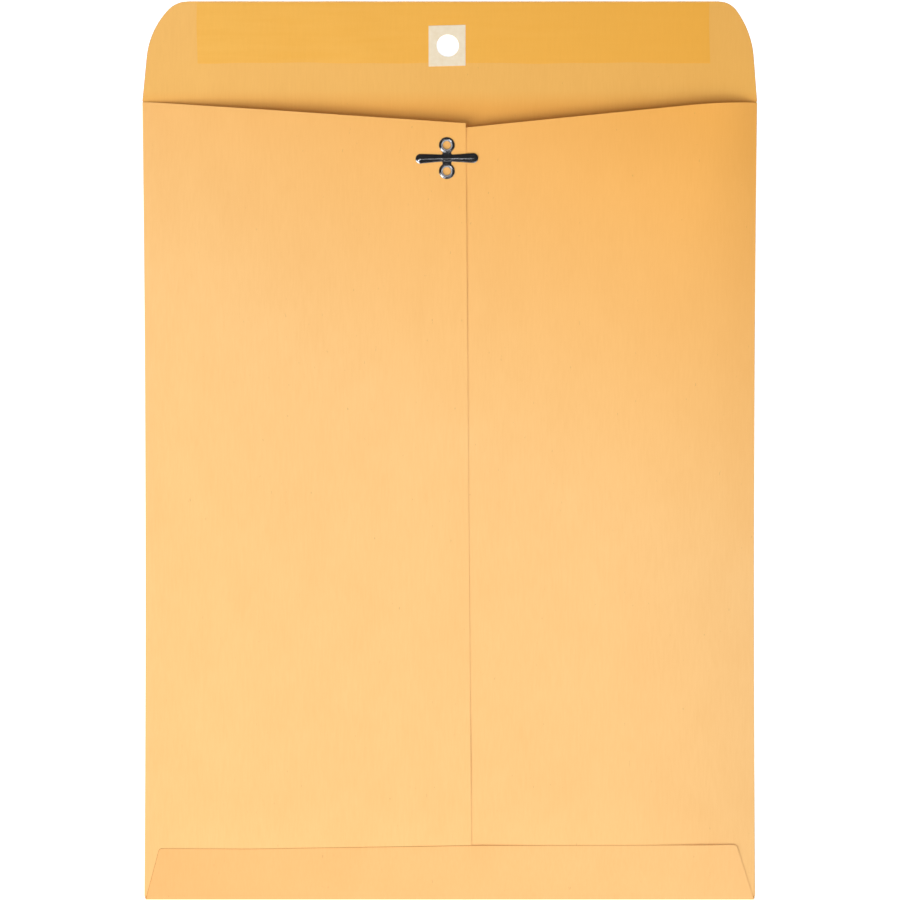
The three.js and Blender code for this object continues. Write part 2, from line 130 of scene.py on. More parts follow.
def mouth_drop(from_fold, seam_from_fold, mouth):
    """How far a back panel's top edge lies below the crease."""
    curve = mouth["curve"]
    eased = lambda s: np.where(s < curve, s * s / (2 * curve), s - curve / 2)
    share = eased(np.maximum(from_fold, 0)) / eased(np.array(seam_from_fold))
    return lerp(mouth["fold"], mouth["seam"], share)


def layer_height(x, y):
    """The extra height of what lies over the right panel's hidden tab."""
    tab = seam_x(y) - SEAM_OVERLAP
    up = np.clip((x - (tab - LAYER_RAMP_CLEAR - LAYER_RAMP)) / LAYER_RAMP, 0, 1)
    down = np.clip((x - (seam_x(y) + LAYER_RAMP_CLEAR)) / LAYER_RAMP, 0, 1)
    return LAYER_STEP * (smooth(up) - smooth(down))


def pulled_in(x, y):
    """The x of a point once the sides have pulled in."""
    v = np.clip((CREASE_Y - y) / (CREASE_Y - BOTTOM_Y), 0, 1) / SIDE_PULL_AT
    return x * (1 - SIDE_PULL / HALF_WIDTH * (2 * v - v * v))


# %% [markdown]
# Paper is a thin sheet with two faces and an edge. One helper turns a grid of
# middle-surface points into such a closed sheet. A knife crushes the edge as it
# cuts, so the edge of paper slants a little and gets an attribute, which the
# kraft finish reads: it gives the edge a deep orange that is partly the cut edge's
# own darker tone and partly painted shade for the thin shadow line along the edge.

# %% Helpers for sheets
SHARP_ANGLE = math.radians(40)
CUT_SLANT = 0.12 * MM


def add_object(name, data):
    obj = bpy.data.objects.new(name, data)
    bpy.context.scene.collection.objects.link(obj)
    return obj


def reshape(mesh, change):
    """Lets a function change a mesh, then shades it smooth but for its real edges."""
    bm = bmesh.new()
    bm.from_mesh(mesh)
    change(bm)
    bm.to_mesh(mesh)
    bm.free()
    mesh.shade_smooth()
    mesh.set_sharp_from_angle(angle=SHARP_ANGLE)


def grid(x, y, z):
    """Points from coordinates that fit one another's rows and columns."""
    return np.stack(np.broadcast_arrays(x, y, z), axis=-1)


def sheet(name, points, thickness, wrap=False, slant=None):
    """A closed sheet round a grid of middle points, shaped (rows, columns, 3).

    wrap joins the last column to the first. slant gives how far the cut edge
    slants at each x.
    """
    rows, columns = points.shape[:2]
    tall = np.pad(points, ((1, 1), (0, 0), (0, 0)), mode="edge")
    wide = np.pad(points, ((0, 0), (1, 1), (0, 0)), mode="wrap" if wrap else "edge")
    normal = np.cross(wide[:, 2:] - wide[:, :-2], tall[2:] - tall[:-2])
    normal /= np.linalg.norm(normal, axis=2, keepdims=True)
    top = (points + normal * thickness / 2).reshape(-1, 3)
    under = (points - normal * thickness / 2).reshape(-1, 3)
    row, column = np.mgrid[0:rows - 1, 0:columns if wrap else columns - 1].reshape(2, -1)
    a = row * columns + column
    b = row * columns + (column + 1) % columns
    faces = np.stack([a, b, b + columns, a + columns], axis=1)
    n = rows * columns
    first, last = np.arange(columns), (rows - 1) * columns + np.arange(columns)
    if wrap:
        rims = [first, last]
    else:
        side = np.arange(1, rows - 1) * columns
        rims = [np.concatenate([first, side + columns - 1, last[::-1], side[::-1]])]
    if slant:
        rim = rims[0]
        inner_row = np.clip(rim // columns, 1, rows - 2)
        inner = inner_row * columns + np.clip(rim % columns, 1, columns - 2)
        inward = top[inner] - top[rim]
        inward /= np.linalg.norm(inward, axis=1, keepdims=True)
        top[rim] += slant(top[rim, :1]) * inward
    walls = [np.stack([r, r + n, np.roll(r, -1) + n, np.roll(r, -1)], axis=1) for r in rims]
    all_faces = np.concatenate([faces, faces[:, ::-1] + n, *walls])
    mesh = bpy.data.meshes.new(name)
    mesh.from_pydata(np.concatenate([top, under]).tolist(), [], all_faces.tolist())
    reshape(mesh, lambda bm: bmesh.ops.recalc_face_normals(bm, faces=bm.faces))
    is_wall = np.arange(len(all_faces)) >= 2 * len(faces)
    cut = mesh.attributes.new("cut_edge", "FLOAT", "FACE")
    cut.data.foreach_set("value", is_wall.astype(np.float32))
    return add_object(name, mesh)


def clear_of_edge(rows):
    """Drops the rows that lie too close to the last one for its cut edge to slant."""
    return np.append(rows[rows < rows[-1] - 2 * CUT_SLANT], rows[-1])


# %% [markdown]
# Shapes and finishes are both made by node trees. One helper adds a node with its
# settings and links. An input takes a value, a socket, a node, which gives its
# first output, or a formula such as ("ADD", a, b). Inputs are named, or come in
# order: a Map Range node's are the value, the levels it runs from, then to.

# %% Helpers for nodes
MATH = "ShaderNodeMath"
VECTOR_MATH = "ShaderNodeVectorMath"
MAP_RANGE = "ShaderNodeMapRange"


def connect(tree, node, links):
    """Sets a node's inputs. A formula becomes Math nodes."""
    for key, value in links.items() if isinstance(links, dict) else enumerate(links):
        if isinstance(value, tuple) and isinstance(value[0], str):
            value = add_node(tree, MATH, value[1:], operation=value[0])
        if isinstance(value, bpy.types.Node):
            value = value.outputs[0]
        if isinstance(value, bpy.types.NodeSocket):
            tree.links.new(value, node.inputs[key])
        else:
            node.inputs[key].default_value = value
    return node


def add_node(tree, kind, links=(), **settings):
    node = tree.nodes.new(kind)
    for key, value in settings.items():
        setattr(node, key, value)
    return connect(tree, node, links)


def new_tree(name, output, output_kind, **inputs):
    """A geometry tree and its inputs. Each socket's name comes with its kind."""
    tree = bpy.data.node_groups.new(name, "GeometryNodeTree")
    sockets = [(label, "INPUT", kind) for label, kind in inputs.items()]
    for label, in_out, kind in [*sockets, (output, "OUTPUT", output_kind)]:
        tree.interface.new_socket(label, in_out=in_out, socket_type="NodeSocket" + kind)
    return tree, add_node(tree, "NodeGroupInput").outputs


def keep_result(obj, modifier):
    """Makes what a modifier gives the object's own plain mesh."""
    evaluated = obj.evaluated_get(bpy.context.evaluated_depsgraph_get())
    mesh = bpy.data.meshes.new_from_object(evaluated)
    obj.modifiers.remove(modifier)
    obj.data = mesh
    mesh.set_sharp_from_angle(angle=SHARP_ANGLE)


def apply_tree(obj, tree, values):
    """Runs a node tree on an object, with values for its named inputs."""
    modifier = obj.modifiers.new(tree.name, "NODES")
    modifier.node_group = tree
    for name, value in values.items():
        modifier[tree.interface.items_tree[name].identifier] = value
    keep_result(obj, modifier)


# %% [markdown]
# Finishes. Every pattern here is noise of a real size, turned into cycles per
# metre, and most of them are marks of another colour on a tone: they start at one
# level of the noise, are full at another, and have a strength there. A Mix node has
# its factor at input 0, its colours at 6 and 7, and the mixed colour at output 2.

# %% Helpers for finishes
GRAIN_DEPTH = 0.03 * MM


def hex_colour(code):
    """An sRGB hex colour as linear values."""
    channels = [int(code[i:i + 2], 16) / 255 for i in (1, 3, 5)]
    linear = [c / 12.92 if c <= 0.04045 else ((c + 0.055) / 1.055) ** 2.4 for c in channels]
    return (*linear, 1.0)


def new_material(name):
    material = bpy.data.materials.new(name)
    material.use_nodes = True
    return material, material.node_tree


def dressed(material, links):
    """The material, with its shader's inputs set."""
    tree = material.node_tree
    connect(tree, tree.nodes["Principled BSDF"], links)
    return material


def real_noise(tree, size, detail, roughness):
    """Noise whose features have a real size in millimetres along X, Y and Z."""
    place = add_node(tree, "ShaderNodeTexCoord").outputs["Object"]
    scale = [1 / (s * MM) for s in size]
    mapped = add_node(tree, "ShaderNodeMapping", {"Vector": place, "Scale": scale})
    settings = {"Vector": mapped, "Scale": 1.0, "Detail": detail, "Roughness": roughness}
    return add_node(tree, "ShaderNodeTexNoise", settings)


def lay_marks(tree, tone, code, size, most=1.0, levels=(0.3, 0.7), detail=4.0, roughness=0.5):
    """Lays marks of another colour on a tone. Gives the new tone and the marks' strength."""
    noise = real_noise(tree, size, detail, roughness)
    strength = add_node(tree, MAP_RANGE, [noise, *levels, 0.0, most])
    links = {0: strength, 6: tone, 7: hex_colour(code)}
    return add_node(tree, "ShaderNodeMix", links, data_type="RGBA").outputs[2], strength


def tone_across(tree, direction, start, end, first, last):
    """A slow change of tone between two places along a direction."""
    place = add_node(tree, "ShaderNodeTexCoord").outputs["Object"]
    slant = add_node(tree, VECTOR_MATH, [place, direction], operation="DOT_PRODUCT")
    along = add_node(tree, MAP_RANGE, [slant.outputs["Value"], start, end])
    links = {0: along, 6: hex_colour(first), 7: hex_colour(last)}
    return add_node(tree, "ShaderNodeMix", links, data_type="RGBA").outputs[2]


def grain_relief(tree, size, strength, detail=4.0, roughness=0.5):
    """The fine grain of a surface, as a bump."""
    grain = real_noise(tree, size, detail, roughness)
    links = {"Height": grain, "Strength": strength, "Distance": GRAIN_DEPTH}
    return add_node(tree, "ShaderNodeBump", links)


# %% [markdown]
# Kraft is unbleached wood pulp: warm brown and matte, with long fibres laid along the
# machine's run, soft clouds where the pulp lay thicker, and dark specks of bark.
# The tone runs slowly across each sheet as painted light: the back is lighter towards
# the lower left and the flap towards the left, where the key lamp falls. The foot's
# tone is a little darker towards the left.

# %% Kraft paper
DOWN_THE_BACK = ((0.53, 1.0, 0.0), 194 * MM, 8 * MM)
ACROSS_THE_FLAP = ((1.0, 0.0, 0.0), 110 * MM, -110 * MM)
FIBRE_SIZE = (0.6, 7, 0.6)
FIBRE_STRENGTH = 0.09


def make_kraft(name, run, first_tone, last_tone, deep_tone, pocket_shade_tint=None):
    """Where the pocket's mouth throws its shadow, kraft takes a painted shade: a deeper, warmer tint.
    """
    material, tree = new_material(name)
    # A slow run of tone: on the back and the flap it is painted light, lighter where the key lamp
    # falls.
    tone = tone_across(tree, *run, first_tone, last_tone)
    tone, _ = lay_marks(tree, tone, deep_tone, (14, 22, 14), 0.07, (0.35, 0.75), detail=3.0)
    tone, fibres = lay_marks(tree, tone, deep_tone, FIBRE_SIZE, FIBRE_STRENGTH, roughness=0.6)
    tone, _ = lay_marks(tree, tone, "#8a5a2a", (1.1, 3.2, 1.1), 0.22, (0.74, 0.80), detail=2.0)
    # The cut edge turns deep orange: partly its own darker tone, partly painted shade of the line
    # beside each edge.
    cut = add_node(tree, "ShaderNodeAttribute", attribute_name="cut_edge").outputs["Fac"]
    links = {0: cut, 6: tone, 7: hex_colour("#c4741a")}
    tone = add_node(tree, "ShaderNodeMix", links, data_type="RGBA").outputs[2]
    # Painted shade: where the pocket's mouth shades the sheet, the tone is multiplied by a warm tint.
    if pocket_shade_tint:
        inside = add_node(tree, "ShaderNodeAttribute", attribute_name="painted_pocket_shade").outputs["Fac"]
        links = {0: inside, 6: tone, 7: hex_colour(pocket_shade_tint)}
        tinted = add_node(tree, "ShaderNodeMix", links, data_type="RGBA", blend_type="MULTIPLY")
        tone = tinted.outputs[2]
    return dressed(material, {
        "Base Color": tone, "IOR": 1.45, "Specular IOR Level": 0.25,
        "Roughness": add_node(tree, MAP_RANGE, [fibres, 0.0, FIBRE_STRENGTH, 0.74, 0.86]),
        "Normal": grain_relief(tree, (0.5, 2.4, 0.5), 0.35, detail=5.0, roughness=0.65),
    })


# The back's and the flap's runs of tone are painted light from the key lamp.
kraft = make_kraft("kraft_paper", DOWN_THE_BACK, "#feb95c", "#ffcc87", "#e59a45")
# The last colour here is the warm tint of the painted shade beside the pocket's mouth.
kraft_inside = make_kraft(
    "kraft_paper_inside", ACROSS_THE_FLAP, "#f4b95f", "#fcc36d", "#d9933f", "#fff2e1")
kraft_foot = make_kraft("kraft_paper_foot", ACROSS_THE_FLAP, "#ffca86", "#fec17c", "#e59a45")
print("three tones of kraft")

# %% [markdown]
# Gum and glue are dried films, so they are smoother than paper. The patch is
# uncoated card. The clasp is thin steel with a tin coat, which mirrors the room.

# %% Dried gum, patch card, glue and tinned steel
STREAK_STRENGTH = 0.35


def make_gum():
    """Dextrin gum, roller coated and dried: it wets the paper darker, with a faint shine."""
    material, tree = new_material("dried_gum")
    # The tone runs lighter towards the left, as on the flap: painted light from the key lamp.
    tone = tone_across(tree, *ACROSS_THE_FLAP, "#f8b444", "#ffc158")
    tone, streaks = lay_marks(tree, tone, "#f7b243", (26, 3.0, 26), STREAK_STRENGTH, detail=3.0)
    tone, _ = lay_marks(tree, tone, "#d48e2c", FIBRE_SIZE, 0.06, roughness=0.6)
    return dressed(material, {
        "Base Color": tone, "IOR": 1.48, "Specular IOR Level": 0.35,
        "Roughness": add_node(tree, MAP_RANGE, [streaks, 0.0, STREAK_STRENGTH, 0.46, 0.58]),
    })


def make_patch():
    """Uncoated pale card, die cut, with a faint mottle and fine grain."""
    material, tree = new_material("patch_card")
    tone, _ = lay_marks(tree, hex_colour("#f8ead0"), "#edd9b5", (2.2, 2.2, 2.2), 0.5)
    relief = grain_relief(tree, (0.6, 0.6, 0.6), 0.4)
    return dressed(material, {"Base Color": tone, "Roughness": 0.82, "Normal": relief})


def make_glue():
    """Dried starch glue: pale, slightly glossy, hidden in the seams."""
    material, tree = new_material("starch_glue")
    tone, _ = lay_marks(tree, hex_colour("#efe3c4"), "#dcc898", (4, 9, 4), detail=3.0)
    return dressed(material, {"Base Color": tone, "Roughness": 0.5})


def make_clasp_metal():
    """Tinned steel, tumbled bright and a little dulled by handling."""
    material, tree = new_material("tinned_steel")
    tone, wear = lay_marks(tree, hex_colour("#c8c9cc"), "#b0b1b6", (1.2, 1.2, 1.2), 1.0, (0.35, 0.7))
    roughness = add_node(tree, MAP_RANGE, [wear, 0.0, 1.0, 0.12, 0.18])
    return dressed(material, {"Base Color": tone, "Metallic": 1.0, "Roughness": roughness})


gum_finish = make_gum()
patch_finish = make_patch()
glue_finish = make_glue()
metal_finish = make_clasp_metal()
print("finishes:", [material.name for material in bpy.data.materials][-4:])

# %% [markdown]
# A dent from handling is a smooth hollow, longer than it is wide. As a small group
# of nodes it is used again and again, with another place, turn and size.

# %% The soft dent group
def make_dent_group():
    tree, entry = new_tree("soft_dent", "Offset", "Float", Position="Vector", Centre="Vector",
                           Angle="Float", Length="Float", Width="Float", Height="Float")
    turned = add_node(tree, "ShaderNodeVectorRotate", {
        "Vector": entry["Position"], "Center": entry["Centre"], "Angle": entry["Angle"],
    }, rotation_type="Z_AXIS")
    local = add_node(tree, VECTOR_MATH, [turned, entry["Centre"]], operation="SUBTRACT")
    parts = add_node(tree, "ShaderNodeSeparateXYZ", [local]).outputs
    u = add_node(tree, MATH, [parts["X"], entry["Length"]], operation="DIVIDE")
    v = add_node(tree, MATH, [parts["Y"], entry["Width"]], operation="DIVIDE")
    squared = ("ADD", ("MULTIPLY", u, u), ("MULTIPLY", v, v))
    bell = ("EXPONENT", ("MULTIPLY", squared, -1.0))
    add_node(tree, "NodeGroupOutput", [("MULTIPLY", bell, entry["Height"])])
    return tree


soft_dent = make_dent_group()

# %% [markdown]
# All the back layers share one rising surface, so one node tree makes it: it lifts
# each point by a share of the pocket's rise, easing in from the side folds and from
# the bottom, and adds the dents. The flap's tree is the same with no rise. Round the
# clasp and the hole the paper is held flat, so the dents fade there.

# %% The relief trees
# Each dent: centre x and y, angle in degrees, half length, half width, height, all in mm.
POCKET_DENTS = [
    (-127, 138, 0, 36, 60, -3.3),
    (80, 118, 8, 46, 19, 1.0),
    (-48, 100, -52, 46, 13, -0.35),
    (-88, 118, -30, 26, 12, -0.18),
    (-66, 20, -75, 80, 26, 0.22),
    (34, 88, -62, 44, 14, -0.3),
    (88, 60, -35, 60, 20, -0.3),
    (58, -60, 80, 90, 28, 0.15),
    (-60, -110, 20, 60, 24, 0.12),
]
FLAP_DENTS = [
    (-38, 168, 68, 26, 9, 0.35),
    (-8, 156, 60, 20, 8, 0.2),
    (52, 172, 110, 26, 12, 0.2),
    (-92, 170, 100, 22, 12, 0.25),
    (98, 165, 75, 24, 10, 0.1),
]
QUIET_NEAR = 11 * MM
QUIET_FAR = 26 * MM
SIDE_SHOULDER = 18 * MM
SIDE_SHOULDER_LOW = 60 * MM
SIDE_SHOULDER_REACH = 190 * MM
BOTTOM_SHOULDER = 38 * MM
FLAP_FLAT = 4 * MM
FLAP_SHOULDER = 14 * MM


def sum_of_dents(tree, position, dents):
    total = 0.0
    for x, y, angle, length, width, height in dents:
        dent = add_node(tree, "GeometryNodeGroup", {
            "Position": position, "Centre": (x * MM, y * MM, 0), "Angle": math.radians(angle),
            "Length": length * MM, "Width": width * MM, "Height": height * MM,
        }, node_tree=soft_dent)
        total = ("ADD", dent, total)
    return total


def ease_in(tree, value, distance):
    """1 - (1 - t)^2 with t = value / distance, clamped."""
    t = add_node(tree, MATH, [value, distance], operation="DIVIDE", use_clamp=True)
    left = add_node(tree, MATH, [1.0, t], operation="SUBTRACT")
    return add_node(tree, MATH, [1.0, ("MULTIPLY", left, left)], operation="SUBTRACT")


def pocket_share(tree, parts):
    """The share of the rise, which is 0 along the side folds and the bottom."""
    from_mouth = ("SUBTRACT", CREASE_Y, parts["Y"])
    shoulder = add_node(tree, MAP_RANGE, [
        from_mouth, 0.0, SIDE_SHOULDER_REACH, SIDE_SHOULDER, SIDE_SHOULDER_LOW])
    across = ease_in(tree, ("SUBTRACT", PANEL_HALF, ("ABSOLUTE", parts["X"])), shoulder)
    along = ease_in(tree, ("SUBTRACT", parts["Y"], BACK_LOW_Y), BOTTOM_SHOULDER)
    return add_node(tree, MATH, [across, along], operation="MULTIPLY")


def flap_share(tree, parts):
    """The share of the dents, which is 0 at the crease."""
    return ease_in(tree, ("SUBTRACT", parts["Y"], CREASE_Y + FLAP_FLAT), FLAP_SHOULDER)


def make_relief_tree(name, dents, quiet_spot, share_of):
    """A tree that lifts points by a share of Rise, plus dents that fade near a quiet spot."""
    tree, entry = new_tree(name, "Geometry", "Geometry",
                           Geometry="Geometry", Rise="Float", Material="Material")
    position = add_node(tree, "GeometryNodeInputPosition")
    flat = add_node(tree, VECTOR_MATH, [position, (1, 1, 0)], operation="MULTIPLY")
    parts = add_node(tree, "ShaderNodeSeparateXYZ", [position]).outputs
    apart = add_node(tree, VECTOR_MATH, [flat, quiet_spot], operation="DISTANCE").outputs["Value"]
    fade = add_node(tree, MAP_RANGE, [apart, QUIET_NEAR, QUIET_FAR], interpolation_type="SMOOTHSTEP")
    share = share_of(tree, parts)
    ripple = ("MULTIPLY", ("MULTIPLY", sum_of_dents(tree, flat, dents), fade), share)
    total = ("ADD", ("MULTIPLY", share, entry["Rise"]), ripple)
    offset = add_node(tree, "ShaderNodeCombineXYZ", {"Z": total})
    links = {"Geometry": entry["Geometry"], "Offset": offset}
    moved = add_node(tree, "GeometryNodeSetPosition", links)
    real = add_node(tree, "GeometryNodeRealizeInstances", [moved])
    links = {"Geometry": real, "Material": entry["Material"]}
    add_node(tree, "NodeGroupOutput", [add_node(tree, "GeometryNodeSetMaterial", links)])
    return tree


pocket_relief = make_relief_tree("pocket_relief", POCKET_DENTS, (CLASP.x, CLASP.y, 0), pocket_share)
flap_relief = make_relief_tree("flap_relief", FLAP_DENTS, HOLE, flap_share)
print("dents:", len(POCKET_DENTS), "in the pocket,", len(FLAP_DENTS), "in the flap")

# %% [markdown]
# The back panels. Each is a sheet that starts flat on the front panel, turns round
# the side fold and runs to its free edge. The grid follows the fold and the mouth,
# so the edges are clean, and the relief tree then opens the pocket. The left one
# is pierced for the clasp's barrels.

# %% Make the back panels
COLUMN_STEP = 2.2 * MM
ROW_STEP = 3 * MM
FOLD_STEPS = 10
CUTTER_DEPTH = 6 * MM
HOLE_CLEARANCE = 0.15 * MM
BARREL_OUTER = 1.95 * MM
EAR_RADIUS = 3.25 * MM
EAR_OFFSET = (clasp_high.y - clasp_low.y) / 2 - EAR_RADIUS
HOLLOW_DEPTH = 0.32 * MM
HOLLOW_RADIUS = 3.2 * MM
HOLLOW_RUN = 5 * MM
FOOT_HEIGHT = bottom_high.y - BOTTOM_Y
SWELL = 0.2 * MM
SWELL_RUN = 30 * MM
SWELL_FALL = 2.4 * MM
SWELL_INSET = 7.2 * MM
SWELL_START = 8 * MM
SWELL_FADE = 12 * MM
SEAM_CURL = 0.3 * MM
SEAM_CURL_RUN = 7 * MM
SEAM_CURLS = [(85, 50, 0.7), (-125, 18, 0.8), (131, 8, 1.0)]
HELD_BY_CLASP = 4 * MM
FREE_OF_CLASP = 8 * MM


def spread(a, b, step):
    """Evenly spaced values from a to b, about step apart."""
    return np.linspace(a, b, max(2, int(round(abs(b - a) / step)) + 1))


def cut_away(obj, cutter):
    """Cuts the cutter's shape out of a piece and removes the cutter."""
    boolean = obj.modifiers.new("cut", "BOOLEAN")
    boolean.operation = "DIFFERENCE"
    boolean.object = cutter
    boolean.solver = "EXACT"
    keep_result(obj, boolean)
    bpy.data.objects.remove(cutter)


def cut_round_hole(obj, centre, radius, corners=96):
    bpy.ops.mesh.primitive_cylinder_add(
        vertices=corners, radius=radius, depth=CUTTER_DEPTH, location=centre)
    cut_away(obj, bpy.context.object)


def back_panel(name, side, edge_x, mouth, lift, curl):
    """side is -1 for the left panel and 1 for the right one."""
    middle = FOLD_INNER_RADIUS + PAPER / 2
    seam_from_fold = PANEL_HALF - side * SEAM_AT_MOUTH
    share = spread(0, 1, ROW_STEP / (CREASE_Y - BACK_LOW_Y))[:, None]
    rough_y = lerp(BACK_LOW_Y, CREASE_Y - mouth["seam"], share)
    to_edge = PANEL_HALF - side * edge_x(rough_y)
    near = np.repeat(spread(0, SIDE_SHOULDER, COLUMN_STEP / 2)[None], len(share), 0)
    far = np.linspace(0, 1, int(to_edge.mean() / COLUMN_STEP))[1:]
    flat = np.concatenate([near, lerp(SIDE_SHOULDER, to_edge, far[None])], axis=1)
    y = lerp(BACK_LOW_Y, CREASE_Y - mouth_drop(flat, seam_from_fold, mouth), share)
    x = side * (PANEL_HALF - flat)
    z = PAPER + FOLD_GAP + PAPER / 2 + lift(x, y) + curl(x, y, to_edge - flat)
    turn = np.linspace(-math.pi / 2, math.pi / 2, FOLD_STEPS + 1)[:-1]
    fold_x = side * (PANEL_HALF + middle * np.cos(turn))
    fold_z = FOLD_RADIUS + middle * np.sin(turn)
    fold = grid(fold_x, y[:, :1], fold_z)
    obj = sheet(name, np.concatenate([fold, grid(x, y, z)], axis=1), PAPER)
    apply_tree(obj, pocket_relief, {"Rise": POCKET_RISE, "Material": kraft})
    return obj


def bells(value, table):
    """A sum of soft bumps, each given by its centre and width in mm and its height."""
    return sum(h * np.exp(-((value - c * MM) / (w * MM)) ** 2) for c, w, h in table)


def left_curl(x, y, from_edge):
    """The left panel's glued edge stands a hair proud near the mouth and low down."""
    free = smooth((np.abs(y - CLASP.y) - HELD_BY_CLASP) / FREE_OF_CLASP)
    return SEAM_CURL * bells(y, SEAM_CURLS) * free * np.exp(-from_edge / SEAM_CURL_RUN)


def corner_swell(x, y, from_edge=0.0):
    """The bottom flap's right end sits on a slight swell, which falls away beyond it."""
    from_fold = y - BOTTOM_Y
    end = HALF_WIDTH - SWELL_INSET * from_fold / FOOT_HEIGHT
    rising = smooth((x - end + SWELL_RUN) / SWELL_RUN)
    falling = smooth((x - end) / SWELL_FALL)
    up = smooth(from_fold / SWELL_START) * (1 - smooth((from_fold - FOOT_HEIGHT) / SWELL_FADE))
    return SWELL * (rising - falling) * up


def clinch_hollow(x, y):
    """The right panel's tab is pressed in under the clinched barrels."""
    past = np.maximum(0, np.abs(y - CLASP.y) - EAR_OFFSET)
    return -HOLLOW_DEPTH * (1 - smooth((np.hypot(x - CLASP.x, past) - HOLLOW_RADIUS) / HOLLOW_RUN))


def pull_sides_in(obj):
    points = np.zeros(len(obj.data.vertices) * 3)
    obj.data.vertices.foreach_get("co", points)
    points = points.reshape(-1, 3)
    points[:, 0] = pulled_in(points[:, 0], points[:, 1])
    obj.data.vertices.foreach_set("co", points.ravel())
    obj.data.update()


left_panel = back_panel("left_back_sheet", -1, seam_x, LEFT_MOUTH, layer_height, left_curl)
right_panel = back_panel(
    "right_back_sheet", 1, lambda y: seam_x(y) - SEAM_OVERLAP, RIGHT_MOUTH, clinch_hollow, corner_swell)
for side in (-1, 1):
    centre = (CLASP.x, CLASP.y + side * EAR_OFFSET, CLASP.z)
    cut_round_hole(left_panel, centre, BARREL_OUTER + HOLE_CLEARANCE, 48)
for panel, node in ((left_panel, "left_back_panel"), (right_panel, "right_back_panel")):
    pull_sides_in(panel)
    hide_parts(node)
    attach(panel, "pocket")
    print(panel.name, len(panel.data.polygons), "faces")

# %% [markdown]
# The front panel and the seal flap are one sheet on the real envelope, so they are
# one sheet here. Rows crowd together at the crease and at the rounded corners. An
# attribute marks where the pocket's mouth throws its shadow, for a painted shade.

# %% Make the front sheet with its flap
FLAP_TAPER_HEIGHT = 18 * MM
FLAP_LEFT = {"taper": 1.75 * MM, "corner": 14.5 * MM}
FLAP_RIGHT = {"taper": 1.35 * MM, "corner": 11.6 * MM}
FLAP_CORNER_ROUND = 4.5 * MM
FLAP_COLUMNS = 120
CREASE_ROWS = {"below": 3 * MM, "above": 6 * MM, "step": 0.3 * MM}
MIDDLE_ROWS = {"end": 30 * MM, "step": 1.5 * MM}
TIP_ROWS = 34
ROOT_RUN = 0.8 * MM
HOLE_RADIUS = 4.6 * MM
HOLE_CENTRE = HOLE + Vector((0.35 * MM, 0.1 * MM, 0))
POCKET_SHADE_FROM = 4 * MM
POCKET_SHADE_RUN = 7 * MM


def flap_inset(height, taper, corner):
    """How far the flap's side lies in from the fold line, at heights above the crease."""
    depth = TIP_Y - CREASE_Y
    chord = np.array([corner - taper, depth - FLAP_TAPER_HEIGHT])
    start = math.atan2(taper, FLAP_TAPER_HEIGHT)
    turn = 2 * (math.atan2(chord[0], chord[1]) - start)
    radius = np.linalg.norm(chord) / (2 * math.sin(turn / 2))
    centre = np.array([taper + radius * math.cos(start), FLAP_TAPER_HEIGHT - radius * math.sin(start)])
    angles = np.linspace(start, start + turn - FLAP_CORNER_ROUND / radius, 30)
    arc = np.stack([centre[0] - radius * np.cos(angles), centre[1] + radius * np.sin(angles)], axis=1)
    t = np.linspace(0, 1, 14)[1:, None]
    sharp, last = np.array([corner, depth]), np.array([corner + FLAP_CORNER_ROUND, depth])
    rounded = (1 - t) ** 2 * arc[-1] + 2 * t * (1 - t) * sharp + t ** 2 * last
    outline = np.concatenate([[[0, 0]], arc, rounded])
    return np.interp(height, outline[:, 1], outline[:, 0])


def front_sheet():
    depth = TIP_Y - CREASE_Y
    crease_low, crease_high = CREASE_Y - CREASE_ROWS["below"], CREASE_Y + CREASE_ROWS["above"]
    body = spread(front_low.y, crease_low, 2 * ROW_STEP)
    crease = spread(crease_low, crease_high, CREASE_ROWS["step"])[1:]
    middle = spread(crease_high, CREASE_Y + MIDDLE_ROWS["end"], MIDDLE_ROWS["step"])[1:]
    slowing = np.sin(np.linspace(0, math.pi / 2, TIP_ROWS))[1:]
    tip = CREASE_Y + MIDDLE_ROWS["end"] + (depth - MIDDLE_ROWS["end"]) * slowing
    y = clear_of_edge(np.concatenate([body, crease, middle, tip]))[:, None]
    height = np.clip(y - CREASE_Y, 0, depth)
    root = lerp(PANEL_HALF, HALF_WIDTH, smooth((y - CREASE_Y + ROOT_RUN) / ROOT_RUN))
    left = -(root - flap_inset(height, **FLAP_LEFT))
    right = root - flap_inset(height, **FLAP_RIGHT)
    x = lerp(left, right, np.linspace(0, 1, FLAP_COLUMNS)[None])
    points = grid(x, y, PAPER / 2)
    obj = sheet("front_sheet_with_flap", points, PAPER, slant=lambda x: CUT_SLANT)
    # Marks the painted shade beside the pocket's mouth, fading out just above the crease.
    inside = np.clip((CREASE_Y + POCKET_SHADE_FROM - points[..., 1].ravel()) / POCKET_SHADE_RUN, 0, 1)
    marks = obj.data.attributes.new("painted_pocket_shade", "FLOAT", "POINT")
    marks.data.foreach_set("value", np.tile(inside, 2).astype(np.float32))
    return obj


front = front_sheet()
cut_round_hole(front, HOLE_CENTRE, HOLE_RADIUS)
apply_tree(front, flap_relief, {"Material": kraft_inside})
pull_sides_in(front)
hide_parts("front_panel", "seal_flap")
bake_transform(front)
print(front.name, len(front.data.polygons), "faces")

# %% [markdown]
# The bottom flap, the envelope's foot, is folded up over the back panels and glued.
# It has slanted ends with small corners, its top edge was cut a little askew, and
# its right corner has come up. Every row of its grid has the same number of points.

